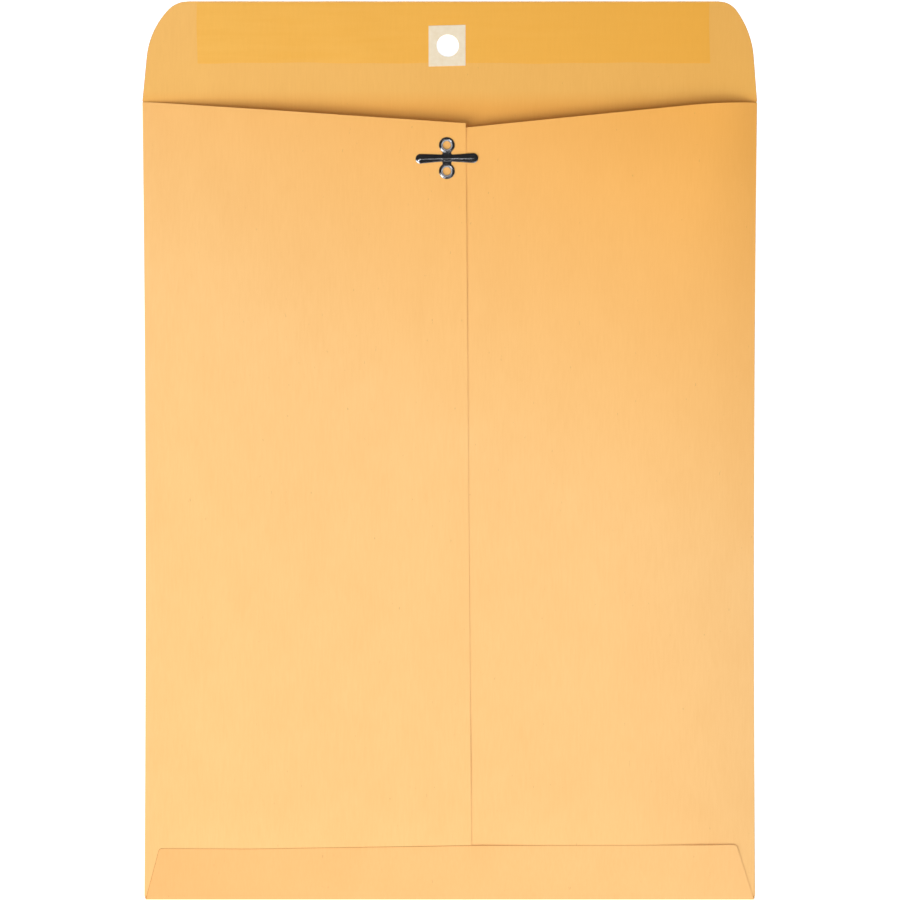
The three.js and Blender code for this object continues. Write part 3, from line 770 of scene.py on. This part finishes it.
# %% Make the bottom flap
FOOT_END_INSET = 0.5 * MM
FOOT_INSET = {-1: 6.1 * MM, 1: 7.7 * MM}
FOOT_ROUND = 0.9 * MM
FOOT_SKEW = 1.55 * MM
FOOT_SKEW_RUN = (-83 * MM, 12 * MM)
FOOT_BEND = (FOLD_GAP + 2 * LAYER_STEP + 2 * PAPER) / 2
FOOT_CURL = 0.6 * MM
FOOT_CURL_RUN = 3.5 * MM
FOOT_CURLS = [(107, 15, 1.0), (20, 10, 0.4)]
FOOT_ROW_STEP = 1.2 * MM
FOOT_END = 18 * MM
SLANT_TO = 110 * MM


def bottom_reach(side, from_fold):
    """The distance from the middle to the flap's slanted end."""
    slant = lerp(FOOT_END_INSET, FOOT_INSET[side], np.clip(from_fold / FOOT_HEIGHT, 0, 1))
    into_corner = np.clip((from_fold - FOOT_HEIGHT + FOOT_ROUND) / FOOT_ROUND, 0, 1)
    return HALF_WIDTH - slant - FOOT_ROUND * (1 - np.sqrt(1 - into_corner ** 2))


def over_the_back(x, y):
    """The height of what lies on the back panels, before the pocket rises."""
    return 2 * PAPER + FOLD_GAP + layer_height(x, y) + LAYER_GAP


def bottom_skew(x, from_fold):
    """How much higher the flap reaches on its right side."""
    start, stop = FOOT_SKEW_RUN
    return FOOT_SKEW * np.clip((x - start) / (stop - start), 0, 1) * from_fold / FOOT_HEIGHT


def bottom_curl(x, from_fold):
    """The top edge stands up near its right corner and a little beside the seam."""
    from_edge = FOOT_HEIGHT - from_fold
    return FOOT_CURL * bells(x, FOOT_CURLS) * np.exp(-from_edge / FOOT_CURL_RUN)


def bottom_row(from_fold):
    """The x of one row's points."""
    left, right = -bottom_reach(-1, from_fold), bottom_reach(1, from_fold)
    near = spread(0, FOOT_END, COLUMN_STEP / 2)
    width = bottom_reach(-1, 0.0) + bottom_reach(1, 0.0) - 2 * FOOT_END
    count = len(spread(0, width, COLUMN_STEP))
    inner = np.linspace(left + FOOT_END, right - FOOT_END, count)[1:-1]
    return np.concatenate([left + near, inner, right - near[::-1]])


def bottom_sheet():
    fold_y = BOTTOM_Y + FOOT_BEND
    edge_y = BOTTOM_Y + FOOT_HEIGHT
    straight = spread(fold_y, edge_y - FOOT_ROUND, FOOT_ROW_STEP)
    corner = edge_y - FOOT_ROUND * (1 - np.sin(np.linspace(0, math.pi / 2, 12)))[1:]
    rows = []
    for angle in np.linspace(-math.pi / 2, math.pi / 2, 11)[:-1]:
        x = bottom_row(0.0)
        y = fold_y - (FOOT_BEND - PAPER / 2) * math.cos(angle)
        z = lerp(PAPER / 2, over_the_back(x, fold_y) + PAPER / 2, (1 + math.sin(angle)) / 2)
        rows.append(grid(x, y, z))
    for row_y in clear_of_edge(np.concatenate([straight, corner])):
        from_fold = row_y - BOTTOM_Y
        x = bottom_row(from_fold)
        y = row_y + bottom_skew(x, from_fold)
        z = over_the_back(x, y) + PAPER / 2 + bottom_curl(x, from_fold) + corner_swell(x, y)
        rows.append(grid(x, y, z))
    slant = lambda x: CUT_SLANT * (x < SLANT_TO)
    return sheet("bottom_flap_sheet", np.array(rows), PAPER, slant=slant)


bottom = bottom_sheet()
apply_tree(bottom, pocket_relief, {"Rise": POCKET_RISE, "Material": kraft_foot})
pull_sides_in(bottom)
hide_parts("bottom_flap")
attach(bottom, "pocket")
print(bottom.name, len(bottom.data.polygons), "faces")

# %% [markdown]
# The glue lines are thin films between the layers. They are never seen from
# outside, but they are part of the object, and they follow the same relief.

# %% Make the glue lines
GLUE_FILM = 0.06 * MM
GLUE_INSET = 2.5 * MM
CLEAR_OF_CLINCH = HOLLOW_RADIUS + 1.2 * MM
BOTTOM_GLUE_REACH = HALF_WIDTH - 14 * MM
BOTTOM_GLUE_FROM = BOTTOM_Y + 5 * MM
BOTTOM_GLUE_TO = BOTTOM_Y + 17 * MM


def film(name, x_low, x_high, y_low, y_high, z_of):
    """A thin film between two edges that are functions of y."""
    y = spread(y_low, y_high, ROW_STEP)[:, None]
    across = np.linspace(0, 1, max(6, int((x_high(y_low) - x_low(y_low)) / COLUMN_STEP)))
    x = lerp(x_low(y), x_high(y), across[None])
    obj = sheet(name, grid(x, y, z_of(x, y)), GLUE_FILM)
    apply_tree(obj, pocket_relief, {"Rise": POCKET_RISE, "Material": glue_finish})
    return obj


def seam_glue_edge(y):
    """The seam glue's right edge, which draws back beside the clinched barrels."""
    beside_clasp = y > CLASP.y - EAR_OFFSET - CLEAR_OF_CLINCH
    return np.where(beside_clasp, CLASP.x - CLEAR_OF_CLINCH, seam_x(y) - GLUE_INSET)


seam_glue = film(
    "centre_glue_film", lambda y: seam_x(y) - SEAM_OVERLAP + GLUE_INSET, seam_glue_edge,
    BACK_LOW_Y + GLUE_INSET, CREASE_Y - RIGHT_MOUTH["seam"] - GLUE_INSET,
    lambda x, y: 2 * PAPER + FOLD_GAP + LAYER_GAP / 2)
bottom_glue = film(
    "bottom_glue_film", lambda y: -BOTTOM_GLUE_REACH, lambda y: BOTTOM_GLUE_REACH,
    BOTTOM_GLUE_FROM, BOTTOM_GLUE_TO, lambda x, y: over_the_back(x, y) - LAYER_GAP / 2)
for glue, node in ((seam_glue, "centre_seam_glue"), (bottom_glue, "bottom_seam_glue")):
    pull_sides_in(glue)
    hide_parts(node)
    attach(glue, "pocket")
    print(glue.name, len(glue.data.polygons), "faces")

# %% [markdown]
# The gum was rolled on wet and dried: its long edges wander by a fraction of a
# millimetre. The patch is a stiff card rectangle with a punched hole, set down a
# little askew. The gum ends just under its edges, clear of the hole.

# %% Make the gum strip and the patch
GUM_TRIM_BELOW = 0.4 * MM
GUM_TRIM_ABOVE = 0.2 * MM
GUM_WANDER = 0.18 * MM
GUM_WAVES = (11 * MM, 4.3 * MM)
GUM_STEP = 1.5 * MM
PATCH_TRIM_LEFT = 0.15 * MM
PATCH_TRIM_BELOW = 0.25 * MM
PATCH_SKEW = 0.2 * MM
PATCH_LAP = 0.6 * MM
PATCH_STEP = 0.5 * MM


def gum_edge(x, phase):
    long, short = GUM_WAVES
    return GUM_WANDER * (np.sin(x / long + phase) + 0.6 * np.sin(x / short + 2.1 * phase))


def flat_card(name, x, y, low, high):
    """A sheet as thick as a node's box."""
    return sheet(name, grid(x, y, (low.z + high.z) / 2), high.z - low.z)


def gum_strip():
    x = spread(gum_low.x, gum_high.x, GUM_STEP)[None]
    across = np.linspace(0, 1, 18)[:, None]
    y = lerp(gum_low.y + GUM_TRIM_BELOW + gum_edge(x, 1.3), gum_high.y - GUM_TRIM_ABOVE, across)
    return flat_card("gum_film", x + gum_edge(y, 0.7), y, gum_low, gum_high)


def patch():
    x = spread(patch_low.x + PATCH_TRIM_LEFT, patch_high.x, PATCH_STEP)[None]
    y = spread(patch_low.y + PATCH_TRIM_BELOW, patch_high.y - PATCH_SKEW / 2, PATCH_STEP)[:, None]
    y = y + PATCH_SKEW * (x - HOLE.x) / (patch_high.x - HOLE.x)
    return flat_card("hole_patch_card", x, y, patch_low, patch_high)


def cut_patch_notch(obj):
    bpy.ops.mesh.primitive_cube_add(size=1, location=(patch_low + patch_high) / 2)
    cutter = bpy.context.object
    width, height = (patch_high - patch_low).xy
    cutter.scale = (width - 2 * PATCH_LAP, height - 2 * PATCH_LAP, CUTTER_DEPTH)
    cut_away(obj, cutter)


gum = gum_strip()
card = patch()
cut_patch_notch(gum)
cut_round_hole(card, HOLE_CENTRE, HOLE_RADIUS)
for obj, finish, node, slot_name in (
        (gum, gum_finish, "gum_strip", "dried_gum"), (card, patch_finish, "hole_patch", "patch_card")):
    apply_tree(obj, flap_relief, {"Material": finish})
    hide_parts(node)
    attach(obj, "flap")
    print(obj.name, len(obj.data.polygons), "faces")

# %% [markdown]
# The clasp is stamped from one strip of tinned steel. Each ear has a raised bead
# round a barrel, which is drawn down through the left panel and clinched under
# it. Half of the fixed part is made as one grid of rings: up the barrel, over the
# bead, and then out to the edge of the neck and the waist. The other half is the
# same piece turned round, so a node tree sets both down and joins them.

# %% The clasp's edge and section
METAL = 0.3 * MM
SEAT = prong_low.z
BEAD_RADIUS = 2.525 * MM
BEAD_HEIGHT = 0.21 * MM
BARREL_RADIUS = 1.8 * MM
CLINCH_FLANGE = 0.8 * MM
CLINCH_BEND = 0.2 * MM
CLINCH_CLEARANCE = 0.04 * MM
CLINCH_LEVEL = -PAPER - CLINCH_CLEARANCE - METAL / 2
WAIST_HALF = 2.1 * MM
WAIST_CROWN = 0.3 * MM
BAR_ROOT_HALF = 1.45 * MM
NECK_PULL = 1.3 * MM
JOIN_ANGLE = math.radians(45)
FULL_RING_RADIUS = 3.0 * MM
RING_CLEARANCE = 0.02 * MM
RINGS_OUT = 17
RINGS_CROWD = 1.4


def bead(t):
    """A pressed bead's rounded section, 1 at its middle and level with the strip at t = 1."""
    return np.cos(np.clip(t, -1, 1) * math.pi / 2) ** 2


def bezier(a, b, c, d, count):
    t = np.linspace(0, 1, count)[:, None]
    a, b, c, d = (np.array(p) for p in (a, b, c, d))
    return (1 - t) ** 3 * a + 3 * t * (1 - t) ** 2 * b + 3 * t * t * (1 - t) * c + t ** 3 * d


rim_level = METAL / 2
crest_level = rim_level + BEAD_HEIGHT
barrel_end = CLINCH_LEVEL + CLINCH_BEND
middle_of_flank = (EAR_RADIUS + BEAD_RADIUS) / 2
flank = bezier((BEAD_RADIUS, crest_level), (middle_of_flank, crest_level),
               (middle_of_flank, rim_level), (EAR_RADIUS, rim_level), 48)
funnel = bezier((BARREL_RADIUS, barrel_end), (BARREL_RADIUS, -crest_level / 2),
                (lerp(BEAD_RADIUS, BARREL_RADIUS, 0.35), crest_level), (BEAD_RADIUS, crest_level), 18)
turn = np.linspace(-math.pi / 2, -math.pi, 6)
clinch = np.stack([BARREL_RADIUS + CLINCH_BEND + CLINCH_BEND * np.cos(turn),
                   barrel_end + CLINCH_BEND * np.sin(turn)], axis=1)
flange_end = [[BARREL_RADIUS + CLINCH_BEND + CLINCH_FLANGE, CLINCH_LEVEL]]
over_the_bead = flank[1:][flank[1:, 0] < FULL_RING_RADIUS - RING_CLEARANCE][::6]
ring_line = np.concatenate([flange_end, clinch[:-1], funnel, over_the_bead])
print("one ear's section has", len(ring_line), "rings")


def neck_edge():
    """From the ear's left side down to the waist, along the middle, and up again."""
    join = EAR_RADIUS * math.sin(JOIN_ANGLE)
    join_y = EAR_OFFSET - EAR_RADIUS * math.cos(JOIN_ANGLE)
    t = np.linspace(0, 1, 9)[:, None]
    start, pull, stop = np.array([(join, join_y), (NECK_PULL, (BAR_ROOT_HALF + join_y) / 2),
                                  (WAIST_HALF, BAR_ROOT_HALF)])
    fillet = (1 - t) ** 2 * start + 2 * t * (1 - t) * pull + t ** 2 * stop
    side = np.stack([np.full(5, WAIST_HALF), np.linspace(BAR_ROOT_HALF, 0, 6)[1:]], axis=1)
    right = np.concatenate([fillet, side])
    middle = np.stack([np.linspace(-WAIST_HALF, WAIST_HALF, 12)[1:-1], np.zeros(10)], axis=1)
    left = right * (-1, 1)
    return np.concatenate([left, middle, right[::-1]])


def half_clasp():
    neck = neck_edge()
    neck_angle = np.linspace(-JOIN_ANGLE, JOIN_ANGLE, len(neck))
    ear_angle = np.linspace(JOIN_ANGLE, 2 * math.pi - JOIN_ANGLE, 66)[1:-1]
    angle = np.concatenate([neck_angle, ear_angle])
    away = np.stack([np.sin(angle), -np.cos(angle)], axis=1)
    ear_centre = np.array([0, EAR_OFFSET])
    edge = np.concatenate([neck, ear_centre + EAR_RADIUS * away[len(neck):]])
    full_ring = ear_centre + FULL_RING_RADIUS * away
    rows = []
    for radius, level in ring_line:
        rows.append(grid(*(ear_centre + radius * away).T, level))
    for share in (np.arange(RINGS_OUT) / (RINGS_OUT - 1)) ** RINGS_CROWD:
        flat = lerp(full_ring, edge, share)
        level = np.interp(np.linalg.norm(flat - ear_centre, axis=1), flank[:, 0], flank[:, 1])
        level += WAIST_CROWN * bead(flat[:, 1] / BAR_ROOT_HALF)
        rows.append(grid(*flat.T, level))
    return sheet("clasp_half", np.array(rows), METAL, wrap=True)


# %% [markdown]
# Stamping leaves slightly rounded edges, which catch the light. The edges where a
# prong meets the waist stay square, so that the strip runs on without a groove.

# %% Round the edges and set the halves down
EDGE_ROUND = 0.08 * MM
EDGE_ANGLE = math.radians(60)
TOUCHING = 1e-7


def soften_edges(obj, is_joint):
    """Rounds the stamped edges, apart from those whose middle is on a joint."""
    def bevel(bm):
        sharp = [e for e in bm.edges if e.calc_face_angle(0) > EDGE_ANGLE]
        sharp = [e for e in sharp if not is_joint((e.verts[0].co + e.verts[1].co) / 2)]
        bmesh.ops.bevel(bm, geom=sharp, offset=EDGE_ROUND, offset_type="OFFSET", segments=3,
                        profile=0.5, affect="EDGES", clamp_overlap=True)
    reshape(obj.data, bevel)


def open_middle(obj):
    """Removes the wall along the middle line, where the other half joins on."""
    def remove_wall(bm):
        wall = [f for f in bm.faces if all(abs(v.co.y) < TOUCHING / 10 for v in f.verts)]
        bmesh.ops.delete(bm, geom=wall, context="FACES")
    reshape(obj.data, remove_wall)


def on_waist_side(middle):
    return abs(middle.x) > WAIST_HALF - TOUCHING and middle.y < BAR_ROOT_HALF + TOUCHING


def make_stamping_tree():
    """Sets copies of a stamping down at one place, each turned half round from the last."""
    tree, entry = new_tree("stamping", "Geometry", "Geometry", Geometry="Geometry",
                           Place="Vector", Turn="Float", Count="Int", Material="Material")
    points = add_node(tree, "GeometryNodePoints", {"Count": entry["Count"], "Position": entry["Place"]})
    index = add_node(tree, "GeometryNodeInputIndex")
    angle = ("MULTIPLY_ADD", index, math.pi, entry["Turn"])
    euler = add_node(tree, "ShaderNodeCombineXYZ", {"Z": angle})
    rotation = add_node(tree, "FunctionNodeEulerToRotation", [euler])
    copies = add_node(tree, "GeometryNodeInstanceOnPoints", {
        "Points": points, "Instance": entry["Geometry"], "Rotation": rotation,
    })
    real = add_node(tree, "GeometryNodeRealizeInstances", [copies])
    joined = add_node(tree, "GeometryNodeMergeByDistance", {"Geometry": real, "Distance": 1e-6})
    links = {"Geometry": joined, "Material": entry["Material"]}
    add_node(tree, "NodeGroupOutput", [add_node(tree, "GeometryNodeSetMaterial", links)])
    return tree


stamping = make_stamping_tree()
clasp_base = half_clasp()
open_middle(clasp_base)
soften_edges(clasp_base, on_waist_side)
clasp_base.name = "clasp_body"
apply_tree(clasp_base, stamping, {
    "Place": (CLASP.x, CLASP.y, SEAT), "Turn": 0.0, "Count": 2, "Material": metal_finish,
})
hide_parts("clasp_base")
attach(clasp_base, "pocket")
print(clasp_base.name, len(clasp_base.data.polygons), "faces")

# %% [markdown]
# A prong is a strip with a round end and a bead pressed along it, which stiffens it.
# The bead is low at the root, where a thumb bends the prong up, and runs on over the
# waist. The round end is a square patch of grid mapped onto a half disc, so no faces
# pinch together at the tip.

# %% Make the prongs
PRONG_LENGTH = 10.8 * MM
PRONG_TIP_HALF = 2.0 * MM
PRONG_CROWN = 0.6 * MM
BEND_RUN = 0.55 * MM
PRONG_LEAN = {"left_prong": 0.033, "right_prong": 0.0}


def prong_strip(lean):
    """A prong along +X, whose far end leans a little to one side."""
    tip_from = PRONG_LENGTH - PRONG_TIP_HALF
    root = np.linspace(0, BEND_RUN, 9)
    shaft = np.linspace(BEND_RUN, tip_from, 20)[1:]
    along = np.concatenate([root, shaft])[:, None]
    across = np.linspace(-1, 1, 25)[None]
    half = lerp(BAR_ROOT_HALF, PRONG_TIP_HALF, along / tip_from)
    crown = lerp(WAIST_CROWN, PRONG_CROWN, along / tip_from) * bead(across)
    strip = grid(along, half * across, METAL / 2 + crown)
    out = np.linspace(0, 1, 12)[1:, None]
    u = out * np.sqrt(1 - across ** 2 / 2)
    v = across * np.sqrt(1 - out ** 2 / 2)
    dome = METAL / 2 + PRONG_CROWN * bead(np.hypot(u, v))
    tip = grid(tip_from + PRONG_TIP_HALF * u, PRONG_TIP_HALF * v, dome)
    points = np.concatenate([strip, tip])
    points[..., 1] += lean * points[..., 0]
    return sheet("prong", points, METAL)


for side, node in ((-1, "left_prong"), (1, "right_prong")):
    prong = prong_strip(PRONG_LEAN[node])
    prong.name = node + "_strip"
    soften_edges(prong, lambda middle: middle.x < TOUCHING)
    bend_x = CLASP.x + side * WAIST_HALF
    apply_tree(prong, stamping, {
        "Place": (bend_x, CLASP.y, SEAT), "Turn": 0.0 if side > 0 else math.pi, "Count": 1,
        "Material": metal_finish,
    })
    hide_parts(node)
    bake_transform(prong)
    print(prong.name, len(prong.data.polygons), "faces")

# %% [markdown]
# The stage is a pale sheet under the envelope. Floor and world are white to the
# camera, and the floor still takes the envelope's shadow. Overhead the world is
# dark to reflections only, so that the clasp reads as metal in a room.

# %% Floor and world
FLOOR_LEVEL = -0.02 * MM
FLOOR_GLOW = 0.45
FILL = 0.36
OVERHEAD = 0.03
DARK_FROM = 0.36
DARK_TO = 0.54


def make_floor_material():
    """A matte white sheet, which glows for the camera and for reflections alone."""
    material, tree = new_material("floor_white")
    path = add_node(tree, "ShaderNodeLightPath").outputs
    seen = ("MAXIMUM", ("MAXIMUM", path["Is Camera Ray"], path["Is Glossy Ray"]),
            path["Is Transmission Ray"])
    return dressed(material, {
        "Base Color": hex_colour("#f4f4f4"), "Roughness": 0.9,
        "Emission Color": (1, 1, 1, 1), "Emission Strength": ("MULTIPLY", seen, FLOOR_GLOW),
    })


def make_world():
    world = bpy.data.worlds.new("studio")
    world.use_nodes = True
    tree = world.node_tree
    path = add_node(tree, "ShaderNodeLightPath").outputs
    glossy = path["Is Glossy Ray"]
    seen = add_node(tree, MATH, [path["Is Camera Ray"], path["Is Transmission Ray"]],
                    operation="MAXIMUM")
    direction = add_node(tree, "ShaderNodeTexCoord").outputs["Generated"]
    height = add_node(tree, "ShaderNodeSeparateXYZ", [direction]).outputs["Z"]
    room = add_node(tree, MAP_RANGE, [height, DARK_FROM, DARK_TO, 1.0, OVERHEAD],
                    interpolation_type="SMOOTHSTEP")
    lit = ("MULTIPLY", ("SUBTRACT", 1.0, ("MAXIMUM", seen, glossy)), FILL)
    strength = ("ADD", ("ADD", seen, ("MULTIPLY", room, glossy)), lit)
    connect(tree, tree.nodes["Background"], {"Strength": strength, "Color": (1, 1, 1, 1)})
    return world


bpy.ops.mesh.primitive_plane_add(size=4, location=(0, 0, FLOOR_LEVEL))
floor = bpy.context.object
floor.name = "floor"
floor.data.materials.append(make_floor_material())
bpy.context.scene.world = make_world()
print("floor and world, fill", FILL)

# %% [markdown]
# Most light is one broad soft key from the left and the front. The two glints are
# small, and stand where the clasp's beads and tips mirror them to the camera. Lamps
# that would draw a false shape in the metal are kept out of its mirror.

# %% Lamps
def area_lamp(name, location, size, share, in_mirrors=True):
    """A lamp aimed at the middle, giving the paper a share of full white."""
    light = bpy.data.lights.new(name, "AREA")
    light.shape = "RECTANGLE"
    light.size, light.size_y = size
    place = Vector(location)
    light.energy = share * math.pi * math.pi * place.length_squared / place.normalized().z
    lamp = add_object(name, light)
    lamp.location = place
    lamp.rotation_mode = "QUATERNION"
    lamp.rotation_quaternion = place.to_track_quat("Z", "Y")
    lamp.visible_camera = False
    lamp.visible_glossy = in_mirrors


area_lamp("key", (-1.2, -1.08, 1.56), (1.6, 1.6), 0.315, in_mirrors=False)
area_lamp("side", (1.0, -1.7, 1.5), (1.0, 1.0), 0.08, in_mirrors=False)
area_lamp("sparkle", (-1.15, -0.95, 1.4), (0.7, 0.7), 0.07)
area_lamp("overhead", (0.1, -0.1, 0.5), (0.5, 0.3), 0.13, in_mirrors=False)
area_lamp("glint", (-0.175, -0.06, 0.7), (0.28, 0.18), 0.13)
area_lamp("second_glint", (0.13, -0.06, 0.7), (0.2, 0.18), 0.025)
print("lamps:", len(bpy.data.lights))

# %% [markdown]
# The camera looks straight down, through a long lens, so that the sheet keeps its
# true proportions. The lens is worked out from the width that it has to show.

# %% Camera
CAMERA_HEIGHT = 2.0
SHEET_HEIGHT = 3 * MM
FRAME_WIDTH = 371.4 * MM
FRAME_CENTRE = (0.1 * MM, 0.2 * MM)
camera_data = bpy.data.cameras.new("camera")
camera_data.sensor_width = 36
camera_data.lens = camera_data.sensor_width / FRAME_WIDTH * CAMERA_HEIGHT
camera = add_object("camera", camera_data)
camera.location = (*FRAME_CENTRE, CAMERA_HEIGHT + SHEET_HEIGHT)
bpy.context.scene.camera = camera
bpy.context.scene.view_settings.view_transform = "Standard"
print("lens", round(camera_data.lens), "mm")
